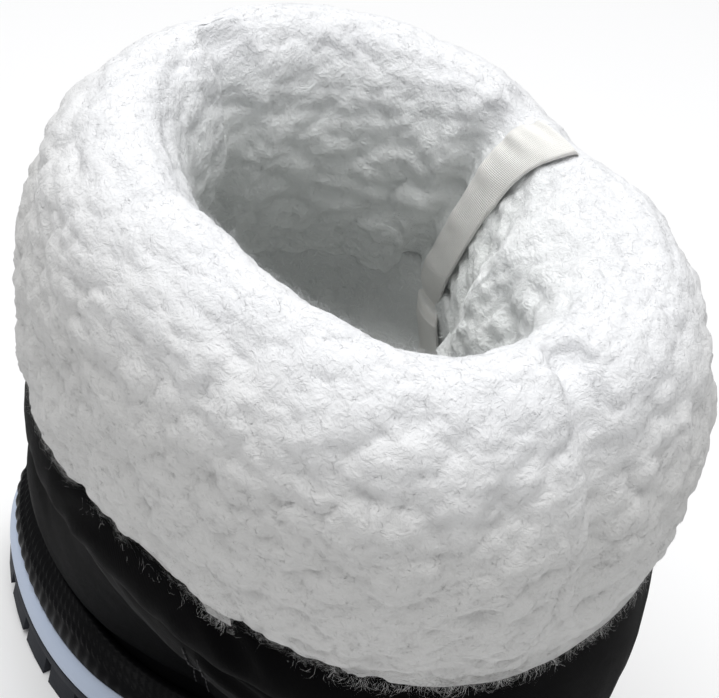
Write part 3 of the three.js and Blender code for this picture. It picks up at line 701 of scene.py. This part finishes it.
def creaseRelief(points, size=20):
    relief = np.zeros(points.shape[:-1])
    for (uFrom, rowFrom), (uTo, rowTo), depth, half, sag in creases:
        share = np.linspace(0, 1, size)
        u = uFrom + (uTo - uFrom) * share
        row = rowFrom + (rowTo - rowFrom) * share + sag * np.sin(np.pi * share)
        line = upperPoint(u, row, 0 * u)
        near = np.linalg.norm(points - line.mean(axis=0), axis=-1) < np.ptp(line, axis=0).max() + 5 * half
        some = points[near]
        best = np.full(len(some), 1e9)
        strength = np.zeros(len(some))
        for k in range(size - 1):
            run = line[k + 1] - line[k]
            t = np.clip(((some - line[k]) @ run) / (run @ run), 0, 1)
            away = np.linalg.norm(some - line[k] - t[:, None] * run, axis=1)
            closer = away < best
            best = np.where(closer, away, best)
            strength = np.where(closer, np.sin(np.pi * np.clip((k + t) / (size - 1), 0.02, 0.98)) ** 0.6, strength)
        trough = -np.exp(-((best / half) ** 2)) + 0.45 * np.exp(-(((best - 1.7 * half) / (0.8 * half)) ** 2))
        relief[near] += depth * strength * trough
    return relief


def softNoise(points, scale, seed):
    flat = points.reshape(-1, 3) / scale + seed * 7.3
    return np.array([noise.noise(Vector(p)) for p in flat]).reshape(points.shape[:-1])


def makeShell(size):
    outer = np.concatenate([
        np.linspace(0, 8.7, 100), np.linspace(8.7, 9.3, 26)[1:], np.linspace(9.3, 10.3, 26)[1:],
        np.linspace(10.3, 12, 8)[1:],
    ])
    inner = np.linspace(12, 0, 48)
    u = np.arange(size["columns"]) / size["columns"]
    uu, rr = np.meshgrid(u, outer)
    plain = upperPoint(uu, rr, 0 * uu)
    out = outwards(upperBase, uu, rr, 12)
    relief = creaseRelief(plain) + 0.35 * softNoise(plain, 26, 1) + 0.12 * softNoise(plain, 8, 2)
    pucker = np.sin(2 * np.pi * size["puckers"] * uu + 3 * softNoise(plain, 30, 3))
    relief += size["puckerDepth"] * pucker * np.exp(-((np.abs(rr - 9.0) / 0.35) ** 2))
    relief *= smoothStep(rr, 0.9, 1.8) * (1 - smoothStep(rr, 10.2, 10.6))
    outside = plain + out * relief[..., None]
    uu, rr = np.meshgrid(u, inner)
    inside = upperPoint(uu, rr, 0 * uu - upper["wall"])
    piece = ringPiece("upperShell", np.concatenate([outside, inside]))
    keepPiece(piece, "upper_cloth", shellCloth, "upper")


makeShell(shell)
print("shell made")


# the fleece: a lumpy ground under a short curly pile
cuff = {"columns": 400, "rows": 190, "ground": -2.9, "lumps": ((15, 3.2), (6.4, 2.1), (3.4, 0.7)), "fuzz": 0.3}


def lumpHeight(points, scale, seed):
    flat = points.reshape(-1, 3)
    heights = []
    for p in flat:
        at = Vector(p) / scale + Vector((seed, seed, seed))
        at += 0.35 * Vector((noise.noise(at * 1.7), noise.noise(at * 1.7 + Vector((9, 0, 0))), 0))
        near = noise.voronoi(at)[0][0]
        heights.append(max(0.0, 1 - (near / 0.9) ** 2) ** 0.8)
    return np.array(heights).reshape(points.shape[:-1])


def normalise(vectors):
    return vectors / np.maximum(np.linalg.norm(vectors, axis=-1, keepdims=True), 1e-9)


def ringNormals(rings):
    turned = np.roll(rings, -1, axis=1) - np.roll(rings, 1, axis=1)
    return normalise(np.cross(turned, np.gradient(rings, axis=0)))


def lumpRelief(points, size):
    lumps = sum(depth * (lumpHeight(points, scale, k + 2.5) - 0.5) for k, (scale, depth) in enumerate(size["lumps"]))
    return lumps + size["fuzz"] * softNoise(points, 3.2, 4)


def cuffSurface(size):
    u = np.arange(size["columns"]) / size["columns"]
    uu, rr = np.meshgrid(u, np.linspace(0, fleece["lastRow"], size["rows"]))
    plain = fleecePoint(uu, rr, 0 * uu)
    out = ringNormals(plain)
    calm = 1 - 0.50 * smoothStep(rr, 3.6, 5.5) * (1 - smoothStep(rr, 7.2, 8.8))
    calm = calm * (0.30 + 0.70 * smoothStep(rr, 0.1, 1.3))
    offset = lumpRelief(plain, size) * calm + size["ground"]
    offset = np.maximum(offset, -3.2 - 3.0 * smoothStep(rr, 1, 2.2)) * smoothStep(rr, -0.4, 0.5)
    ground = plain + out * offset[..., None]
    normal = normalise(0.7 * ringNormals(ground) + 0.3 * out)
    # masks for painted light inside the collar and painted shade on the lower outer face
    lightShadeMasks = {"hollow": smoothStep(rr, 6.5, 9.5), "outer": 1 - smoothStep(rr, 2.6, 5.6)}
    return {"u": uu, "row": rr, "ground": ground, "normal": normal, **lightShadeMasks}


cuffFace = cuffSurface(cuff)
print("fleece surface made")


def makeCuffGround(size):
    u = np.arange(size["columns"]) / size["columns"]
    one = np.ones_like(u)
    slot = fleece["slot"]
    rings = list(cuffFace["ground"])
    for row, offset, lift in (
        (10.12, -upper["wall"] - slot, 0), (11, -upper["wall"] - slot, 0), (12, -upper["wall"] - slot, slot),
        (12, slot, slot), (11, slot, 0), (10.12, slot, 0),
    ):
        ring = upperPoint(u, row * one, offset * one)
        ring[:, 2] += lift
        rings.append(ring)
    piece = ringPiece("fleeceCuff", np.array(rings))
    points, _ = meshOf(piece)
    some = cuffFace["ground"].reshape(-1, 3)[::7]
    tree = kdtree.KDTree(len(some))
    for k, p in enumerate(some):
        tree.insert(p * mm, k)
    tree.balance()
    nearest = [tree.find(p)[1] for p in points]
    # the masks of painted light and painted shade go onto the ground, with a little painted shade under the pile (root)
    for lightShadeMask in ("hollow", "outer"):
        setAttribute(piece, lightShadeMask, cuffFace[lightShadeMask].reshape(-1)[::7][nearest])
    setAttribute(piece, "root", np.full(len(points), 0.12))
    keepPiece(piece, "fleece", fleeceGroundFinish, "fleece_cuff")


makeCuffGround(cuff)
print("cuff ground made")


def hairModel(steps):
    # one hair: a narrow strip of a few steps, closed to a point
    deselectAll()
    bpy.ops.mesh.primitive_grid_add(x_subdivisions=1, y_subdivisions=steps, size=1, location=(0, 0.5, 0))
    piece = bpy.context.object
    bpy.ops.object.transform_apply(location=True, rotation=True, scale=True)
    bpy.ops.object.mode_set(mode="EDIT")
    bpy.ops.mesh.select_all(action="DESELECT")
    bpy.ops.object.mode_set(mode="OBJECT")
    for vertex in piece.data.vertices:
        vertex.select = vertex.co.y > 0.99
    bpy.ops.object.mode_set(mode="EDIT")
    bpy.ops.mesh.select_mode(type="VERT")
    bpy.ops.mesh.merge(type="CENTER")
    bpy.ops.object.mode_set(mode="OBJECT")
    points, faces = meshOf(piece)
    bpy.data.objects.remove(piece)
    return points, faces


hairModels = {steps: hairModel(steps) for steps in (2, 4)}


def pickRoots(face, count, weight):
    # roots spread evenly over the fleece's area, within the rings that the weight keeps
    ground = face["ground"]
    across = np.roll(ground, -1, axis=1) - ground
    area = np.linalg.norm(np.cross(across, np.gradient(ground, axis=0)), axis=-1) * weight
    share = (area / area.sum()).ravel()
    row, column = np.divmod(plan.choice(len(share), size=count, p=share), area.shape[1])
    nextRow = np.minimum(row + 1, area.shape[0] - 1)
    nextColumn = (column + 1) % area.shape[1]
    a, b = plan.random((count, 1)), plan.random((count, 1))

    def blended(field):
        low = field[row, column] * (1 - a) + field[row, nextColumn] * a
        high = field[nextRow, column] * (1 - a) + field[nextRow, nextColumn] * a
        return low * (1 - b) + high * b

    # each hair keeps the painted light and painted shade masks of its root's place
    lightShadeMasks = {lightShadeMask: face[lightShadeMask][row, column] for lightShadeMask in ("hollow", "outer")}
    return blended(ground), normalise(blended(face["normal"])), lightShadeMasks


def tangents(normal):
    level = normalise(np.cross(np.array([0.0, 0, 1]), normal) + np.array([1e-4, 0, 0]))
    return level, np.cross(normal, level)


def makePile(name, face, weight, size):
    # each lock is a small whorl: its hairs rise a little and curl round its middle
    count = size["count"]
    roots, normal, lightShadeMasks = pickRoots(face, count, weight)
    middles, _, _ = pickRoots(face, size["locks"], weight)
    tree = kdtree.KDTree(len(middles))
    for k, p in enumerate(middles):
        tree.insert(p, k)
    tree.balance()
    lock = np.array([tree.find(p)[1] for p in roots])
    level, upright = tangents(normal)
    away = roots - middles[lock]
    turn = np.arctan2(np.sum(away * upright, axis=1), np.sum(away * level, axis=1))
    turn += (plan.random(size["locks"]) * 2.4 + 0.4)[lock] + size["stray"] * plan.normal(size=count)
    bend = size["curl"] * np.where(plan.random(size["locks"]) < 0.5, -1, 1)[lock] * (0.6 + 0.8 * plan.random(count))
    length = size["length"] * (0.6 + 0.8 * plan.random(count))
    rise = size["rise"] * (0.5 + plan.random(count)) + size["wild"] * np.maximum(plan.normal(size=count) - 1.1, 0)
    down = np.array([0, 0, -1.0]) * size["comb"]
    hairPoints, hairFaces = hairModels[size["steps"]]
    steps, across = hairPoints[:, 1], hairPoints[:, 0]
    points = np.zeros((count, len(steps), 3))
    for k, step in enumerate(steps):
        angle = (turn + bend * step)[:, None]
        heading = level * np.cos(angle) + upright * np.sin(angle) + down
        middle = roots + heading * (length * step)[:, None] + normal * (rise * (1 - (1 - step) ** 2) - 0.3)[:, None]
        side = normalise(np.cross(heading, normal))
        points[:, k] = middle + side * (across[k] * size["width"] * (1 - 0.35 * step))
    used = len(steps)
    joined = [[corner + k * used for corner in strip] for k in range(count) for strip in hairFaces]
    mesh = bpy.data.meshes.new(name)
    mesh.from_pydata((points.reshape(-1, 3) * mm).tolist(), [], joined)
    mesh.update()
    piece = bpy.data.objects.new(name, mesh)
    bpy.context.scene.collection.objects.link(piece)
    pick(piece)
    bpy.ops.object.shade_smooth()
    heading = level * np.cos(turn)[:, None] + upright * np.sin(turn)[:, None]
    slope = np.minimum(rise / length, 3)
    steep = smoothStep(slope, 0.35, 0.8)[:, None]
    lit = normal * (1 - steep) + steep * normalise(normal - heading * slope[:, None])
    lit = normalise(lit + size["glint"] * plan.normal(size=(count, 3)))
    mesh.normals_split_custom_set_from_vertices(np.repeat(lit, used, axis=0).tolist())
    # painted shade: each hair is coloured darker towards its root; it also takes the masks of painted light and painted
    # shade
    setAttribute(piece, "root", np.tile(0.15 * (1 - steps), count))
    for lightShadeMask, values in lightShadeMasks.items():
        setAttribute(piece, lightShadeMask, np.repeat(values, used))
    keepPiece(piece, "fleece", fleecePileFinish)


pile = {
    "fleecePileOuter": {
        "count": 56000, "steps": 2, "rows": (0.2, 4.6), "locks": 4200, "length": 2.2, "rise": 0.32, "wild": 0.2,
        "stray": 0.8, "curl": 2.2, "comb": 0.10, "width": 0.12, "glint": 0.03,
    },
    "fleecePileRim": {
        "count": 46000, "steps": 2, "rows": (4.4, 7.6), "locks": 3600, "length": 2.0, "rise": 0.26, "wild": 0.15,
        "stray": 0.9, "curl": 2.2, "comb": 0.0, "width": 0.11, "glint": 0.03,
    },
    "fleecePileInner": {
        "count": 25000, "steps": 2, "rows": (7.4, 10.9), "locks": 1900, "length": 2.3, "rise": 0.4, "wild": 0.3,
        "stray": 0.9, "curl": 2.0, "comb": 0.1, "width": 0.17, "glint": 0.08,
    },
}
fringes = {
    "fleeceHemHairs": {
        "count": 12000, "steps": 4, "locks": 700, "length": 3.0, "rise": 0.8, "wild": 0.7, "stray": 0.9,
        "curl": 3.6, "comb": 0.45, "width": 0.055, "glint": 0.2, "rows": (-1.0, 0.8),
    },
    "fleeceRimHairs": {
        "count": 7000, "steps": 4, "locks": 500, "length": 2.6, "rise": 1.5, "wild": 0.7, "stray": 0.9,
        "curl": 3.6, "comb": 0.0, "width": 0.05, "glint": 0.2, "rows": (6.4, 8.6),
    },
}


def offSeams(reach, slit):
    # no hairs on the tape's middle and front edge, nor in the slits of the two seams
    u, row = cuffFace["u"], cuffFace["row"]
    beside = (u - troughPlace("tapeNotch", row)) * 340
    bare = (beside > -reach * 0.30) & (beside < reach) & (row > 5.7)
    bare |= (around(u, 0) < slit) & (row > 4) | (around(u, 0.484) < slit) & (row < 6)
    return np.where(bare, 0, 1)


def makeFleecePile():
    row = cuffFace["row"]
    for name, size in {**pile, **fringes}.items():
        low, high = size["rows"]
        kept = smoothStep(row, low, low + 0.3) * (1 - smoothStep(row, high - 0.3, high))
        makePile(name, cuffFace, kept * offSeams(6.0, 0.003), size)
        print(name, "made")


makeFleecePile()


# the fleece lining of the shaft and foot, and the footbed
lining = {
    "columns": 210, "rows": 100, "from": 10.5, "to": 0.9, "thick": 2.8, "swell": 8.6, "turn": 0.016,
    "lumps": ((14, 3.4), (6.2, 2.4)), "fuzz": 0.4,
}
liningPile = {
    "count": 12000, "steps": 2, "locks": 1300, "length": 2.8, "rise": 1.0, "wild": 1.2, "stray": 0.8, "curl": 1.5,
    "comb": 0.1, "width": 0.24, "glint": 0.15, "rows": (6.6, 10.4),
}


def liningThick(u, row, size):
    # the upper's own round places run ahead of the fleece's by a small turn
    fold = foldRelief(u + size["turn"], fleece["lastRow"]) * smoothStep(u, 0.52, 0.62) * smoothStep(row, 7.8, 9.4)
    return size["thick"] + size["swell"] * smoothStep(row, 6.2, 9.4) + fold


def liningPoint(u, row, thick):
    # off the upper's inside; in the shaft straight towards its middle line
    back = upperPoint(u, row, 0 * u - upper["wall"] - 0.2)
    middle = np.array([upper["shaftCentre"], upper["shaftSide"], 0])
    radial = normalise((back - middle) * np.array([1.0, 1.0, 0.0]))
    share = smoothStep(row, 6.6, 7.8)[..., None]
    inwards = normalise(outwards(upperBase, u, row, 12) * (1 - share) + radial * share)
    return back - inwards * thick[..., None]


def makeLining(size):
    u = np.arange(size["columns"]) / size["columns"]
    uu, rr = np.meshgrid(u, np.linspace(size["from"], size["to"], size["rows"]))
    back = upperPoint(uu, rr, 0 * uu - upper["wall"] - 0.2)
    out = outwards(upperBase, uu, rr, 12)
    besideTape = uu + size["turn"] - troughPlace("tapeNotch", fleece["lastRow"])
    beside = 1 - np.exp(-((besideTape / 0.03) ** 2)) * smoothStep(rr, 8, 9)
    thick = liningThick(uu, rr, size) + lumpRelief(back, size) * beside
    ground = liningPoint(uu, rr, np.maximum(thick, 0.8))
    piece = ringPiece("shaftLining", np.concatenate([back[::3], ground[::-1]]))
    # painted light of the collar's inside, and painted shade deep in the shaft through the root mask
    setAttribute(piece, "hollow", np.ones(len(piece.data.vertices)))
    setAttribute(piece, "root", np.full(len(piece.data.vertices), 0.4))
    keepPiece(piece, "fleece", fleeceGroundFinish)
    face = {"u": uu, "row": rr, "ground": ground, "normal": -out, "hollow": np.ones_like(uu), "outer": 0 * uu}
    low, high = liningPile["rows"]
    makePile("liningPile", face, smoothStep(rr, low, low + 0.3) * (1 - smoothStep(rr, high - 0.3, high)), liningPile)


makeLining(lining)
print("lining made")


# the cream tape over the rim and down inside
tape = {
    "width": (14.0, 10.5), "thick": 0.9, "lift": -1.2, "rows": (5.85, 10.9), "foot": (10.1, 9.2), "footLift": 2.6, "steps": 110, "footSteps": 24, "across": 14,
    "crown": 1.8, "ruck": 0.40, "dive": 7.0,
}


def tapeSurface(u, row, share, offset, size):
    # over the fleece first, then down the lining below it
    if share <= 1:
        return fleecePoint(u, np.full_like(u, row), offset)
    start, end = size["foot"]
    below = np.full_like(u, start + (end - start) * (share - 1) * (size["steps"] - 1) / size["footSteps"])
    u = u - lining["turn"]
    return liningPoint(u, below, liningThick(u, below, lining) + size["footLift"] + offset)


def makeTape(size):
    rings = []
    for k in range(size["steps"] + size["footSteps"]):
        share = k / (size["steps"] - 1)
        row = size["rows"][0] + (size["rows"][1] - size["rows"][0]) * min(share, 1)
        at = float(troughPlace("tapeNotch", np.array(row)))
        one = np.array([1.0])
        reach = np.linalg.norm(fleeceBase(one * at + 0.01, one * row) - fleeceBase(one * at - 0.01, one * row)) / 0.02
        width = size["width"][0] + (size["width"][1] - size["width"][0]) * float(smoothStep(share, 0.2, 0.6))
        across = np.linspace(-1, 1, size["across"])
        u = at + across * width / 2 / reach
        ruck = math.sin(share * 31) + 0.6 * math.sin(share * 67 + 1.3)
        crown = size["crown"] * (1 - across ** 2) + size["ruck"] * ruck * (0.4 + 0.6 * across)
        crown = crown - size["dive"] * (1 - float(smoothStep(share, 0, 0.10)))
        face = tapeSurface(u, row, share, size["lift"] + size["thick"] + crown, size)
        under = tapeSurface(u, row, share, size["lift"] + crown * 0.5, size)
        rings.append(np.concatenate([face, under[::-1]]))
    rings = np.array(rings)
    deselectAll()
    bpy.ops.mesh.primitive_grid_add(
        x_subdivisions=rings.shape[1], y_subdivisions=rings.shape[0] - 1, size=1, location=(0.5, 0.5, 0))
    piece = bpy.context.object
    piece.name = "seamTape"
    bpy.ops.object.transform_apply(location=True, rotation=True, scale=True)
    flat, _ = meshOf(piece)
    column = np.rint(flat[:, 0] * rings.shape[1]).astype(int) % rings.shape[1]
    row = np.rint(flat[:, 1] * (rings.shape[0] - 1)).astype(int)
    piece.data.vertices.foreach_set("co", (rings[row, column] * mm).ravel())
    bpy.ops.object.mode_set(mode="EDIT")
    bpy.ops.mesh.select_all(action="SELECT")
    bpy.ops.mesh.remove_doubles(threshold=0.000002)
    bpy.ops.mesh.select_all(action="DESELECT")
    bpy.ops.mesh.select_non_manifold()
    bpy.ops.mesh.edge_face_add()
    bpy.ops.mesh.select_all(action="SELECT")
    bpy.ops.mesh.normals_make_consistent(inside=False)
    bpy.ops.object.mode_set(mode="OBJECT")
    bpy.ops.object.shade_smooth()
    keepPiece(piece, "tape_cloth", tapeFinish(), "seam_tape")


makeTape(tape)
print("tape made")


footbed = {"thick": 5, "cell": 1.6, "lump": 0.9, "columns": 160}


def makeFootbed(size):
    u = np.arange(size["columns"]) / size["columns"]
    one = np.ones_like(u)
    low = sole["ground"] + sole["stripe"]
    deselectAll()
    bpy.ops.mesh.primitive_circle_add(vertices=size["columns"], radius=1, fill_type="NGON")
    piece = bpy.context.object
    piece.name = "footbed"
    outline = upperPoint(u, 0.3 * one, (-upper["wall"] - 0.7) * one)
    outline[:, 2] = low + 0.3
    flat, _ = meshOf(piece)
    order = np.rint((np.arctan2(flat[:, 1], flat[:, 0]) / (2 * np.pi)) % 1 * size["columns"]).astype(int)
    piece.data.vertices.foreach_set("co", (outline[order % size["columns"]] * mm).ravel())
    bpy.ops.object.mode_set(mode="EDIT")
    bpy.ops.mesh.select_all(action="SELECT")
    bpy.ops.mesh.extrude_region_move(TRANSFORM_OT_translate={"value": (0, 0, size["thick"] * mm)})
    bpy.ops.mesh.select_all(action="SELECT")
    bpy.ops.mesh.normals_make_consistent(inside=False)
    bpy.ops.object.mode_set(mode="OBJECT")
    applyModifier(piece, "REMESH", {"mode": "VOXEL", "voxel_size": size["cell"] * mm})
    points, _ = meshOf(piece)
    lump = lumpHeight(points / mm, 7, 11.5)
    top = smoothStep(points[:, 2] / mm, low + 1, low + size["thick"] - 0.5)
    points[:, 2] += (toeLift(points[:, 0] / mm) + top * size["lump"] * lump) * mm
    piece.data.vertices.foreach_set("co", points.ravel())
    applyModifier(piece, "SMOOTH", {"factor": 0.5, "iterations": 2})
    pick(piece)
    bpy.ops.object.shade_smooth()
    # painted light of the collar's inside, with painted shade on the footbed through the root mask
    setAttribute(piece, "hollow", np.full(len(piece.data.vertices), 0.8))
    setAttribute(piece, "root", np.full(len(piece.data.vertices), 0.3))
    keepPiece(piece, "insole_fleece", fleeceGroundFinish, "insole")


makeFootbed(footbed)
print("footbed made")


# stitches along the seams
stitch = {"length": 2.8, "radius": 0.32, "pitch": 3.8, "beside": 2.4}


def stitchModel(size):
    deselectAll()
    bpy.ops.mesh.primitive_cylinder_add(
        vertices=6, radius=size["radius"] * mm, depth=size["length"] * mm, rotation=(0, math.radians(90), 0))
    piece = bpy.context.object
    bpy.ops.object.transform_apply(location=True, rotation=True, scale=True)
    bpy.ops.object.mode_set(mode="EDIT")
    bpy.ops.mesh.select_all(action="SELECT")
    bpy.ops.mesh.bevel(offset=0.16 * mm, segments=1, affect="EDGES")
    bpy.ops.object.mode_set(mode="OBJECT")
    return piece


def alongPath(u, row, lift, pitch):
    fine = upperPoint(u, row, 0 * u + lift)
    out = outwards(upperBase, u, row, 12)
    reach = np.concatenate([[0], np.cumsum(np.linalg.norm(np.diff(fine, axis=0), axis=1))])
    stops = np.arange(pitch, reach[-1] - pitch, pitch)
    place = np.stack([np.interp(stops, reach, fine[:, k]) for k in range(3)], axis=1)
    ahead = np.stack([np.interp(stops + 0.5, reach, fine[:, k]) for k in range(3)], axis=1)
    normal = normalise(np.stack([np.interp(stops, reach, out[:, k]) for k in range(3)], axis=1))
    tangent = normalise(ahead - place)
    cross = normalise(np.cross(normal, tangent))
    normal = np.cross(tangent, cross)
    return place, np.stack([tangent, cross, normal], axis=-1)


def makeStitches(size):
    places, turns = [], []
    rows = np.linspace(1.7, 8.85, 400)
    beside = size["beside"] / 500
    for at in (upper["sideSeam"], 1 - upper["sideSeam"], 0.5):
        for shift in (-beside, beside):
            place, turn = alongPath(np.full_like(rows, at + shift), rows, 0.12, size["pitch"])
            places.append(place)
            turns.append(turn)
    u = np.linspace(0, 1, 1200)
    place, turn = alongPath(u, np.full_like(u, 8.86), 0.12, size["pitch"])
    places.append(place)
    turns.append(turn)
    piece = repeatPiece("shellStitches", stitchModel(size), np.concatenate(places) * mm, np.concatenate(turns))
    keepPiece(piece, "upper_cloth", threadFinish("blackThread", (0.02, 0.02, 0.022)))


makeStitches(stitch)
print("stitches made")


# floor and soft light
studio = {"floorSize": 6, "world": 0.27, "key": 70, "keySize": 2.4, "keyPlace": (0.06, 0.04, 2.40), "fill": 0.6}


def makeStudio(size):
    deselectAll()
    bpy.ops.mesh.primitive_plane_add(size=size["floorSize"], location=(0, 0, 0))
    floor = bpy.context.object
    floor.name = "paleFloor"
    paper = Finish("palePaper", Roughness=0.9, Specular_IOR_Level=0.1)
    cloud = paper.grain(paper.place(), 3, 2)
    paper.wear(Base_Color=paper.mix(cloud, (0.88, 0.88, 0.885), (0.90, 0.90, 0.90)))
    floor.data.materials.append(paper.material)
    bpy.ops.object.light_add(type="AREA", location=size["keyPlace"])
    key = bpy.context.object
    key.data.energy = size["key"]
    key.data.size = size["keySize"]
    key.rotation_euler = (-Vector(size["keyPlace"])).to_track_quat("-Z", "Y").to_euler()
    bpy.ops.object.light_add(type="AREA", location=(-1.1, 1.2, 0.9))
    fill = bpy.context.object
    fill.data.energy = size["fill"]
    fill.data.size = 1.2
    fill.rotation_euler = Vector((1.1, -1.2, -0.75)).to_track_quat("-Z", "Y").to_euler()
    world = bpy.context.scene.world or bpy.data.worlds.new("studio")
    bpy.context.scene.world = world
    world.use_nodes = True
    world.node_tree.nodes["Background"].inputs[0].default_value = (0.98, 0.99, 1.0, 1)
    world.node_tree.nodes["Background"].inputs[1].default_value = size["world"]
    bpy.context.scene.view_settings.view_transform = "Standard"


makeStudio(studio)
print("studio made")
